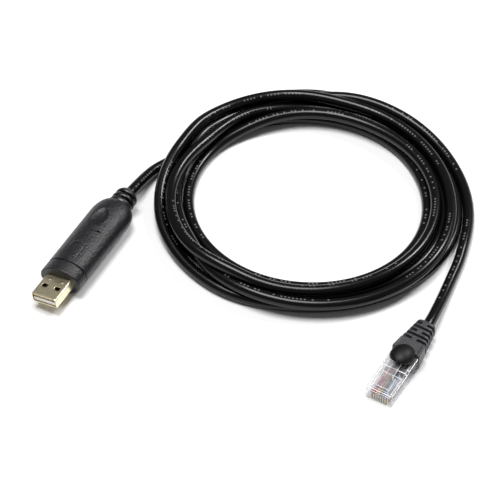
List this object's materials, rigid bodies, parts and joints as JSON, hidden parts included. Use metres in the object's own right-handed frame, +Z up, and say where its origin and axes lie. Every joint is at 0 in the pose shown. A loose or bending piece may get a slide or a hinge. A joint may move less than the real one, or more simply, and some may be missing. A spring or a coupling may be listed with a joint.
{
  "type": "usb to rj45 console cable",
  "caption": "Serial console lead: a USB-A plug in a long rounded overmould joined by a coiled round cable to a clear modular plug with a ribbed, hooded boot.",
  "frame": {"origin": "On the floor under the middle of the two connectors' joint bounding box, cable left out of that box", "axes": "+Z up from the floor; +X from the USB plug's side to the modular plug's side; +Y away from the two plugs' noses, towards the far side of the coil"},
  "size_m": [0.183, 0.1758, 0.0135],
  "materials": {
    "gold_plate": "thin bright gold plate on sheet metal",
    "usb_insulator": "satin moulding",
    "overmould_black": "finely grained matte moulding",
    "relief_black": "smooth satin moulding",
    "jacket_black": "glossy flexible jacket",
    "boot_black": "satin flexible moulding with a smoother hood",
    "clear_polycarbonate": "clear, polished moulding",
    "contact_gold": "plated blades",
    "wire_1": "coloured wire insulation",
    "wire_2": "coloured wire insulation",
    "wire_3": "coloured wire insulation",
    "wire_4": "coloured wire insulation",
    "wire_5": "coloured wire insulation",
    "wire_6": "coloured wire insulation",
    "wire_7": "coloured wire insulation",
    "wire_8": "coloured wire insulation"
  },
  "bodies": {
    "root": {"usb_shell": "gold_plate", "usb_tongue": "usb_insulator", "usb_contact_1": "gold_plate", "usb_contact_2": "gold_plate", "usb_contact_3": "gold_plate", "usb_contact_4": "gold_plate", "usb_body": "overmould_black", "usb_strain_relief": "relief_black", "cable_lead_usb": "jacket_black", "cable_coil": "jacket_black", "cable_lead_rj45": "jacket_black", "rj45_boot": "boot_black", "rj45_housing": "clear_polycarbonate", "rj45_contact_1": "contact_gold", "rj45_contact_2": "contact_gold", "rj45_contact_3": "contact_gold", "rj45_contact_4": "contact_gold", "rj45_contact_5": "contact_gold", "rj45_contact_6": "contact_gold", "rj45_contact_7": "contact_gold", "rj45_contact_8": "contact_gold", "rj45_wire_1": "wire_1", "rj45_wire_2": "wire_2", "rj45_wire_3": "wire_3", "rj45_wire_4": "wire_4", "rj45_wire_5": "wire_5", "rj45_wire_6": "wire_6", "rj45_wire_7": "wire_7", "rj45_wire_8": "wire_8"}
  },
  "joints": []
}
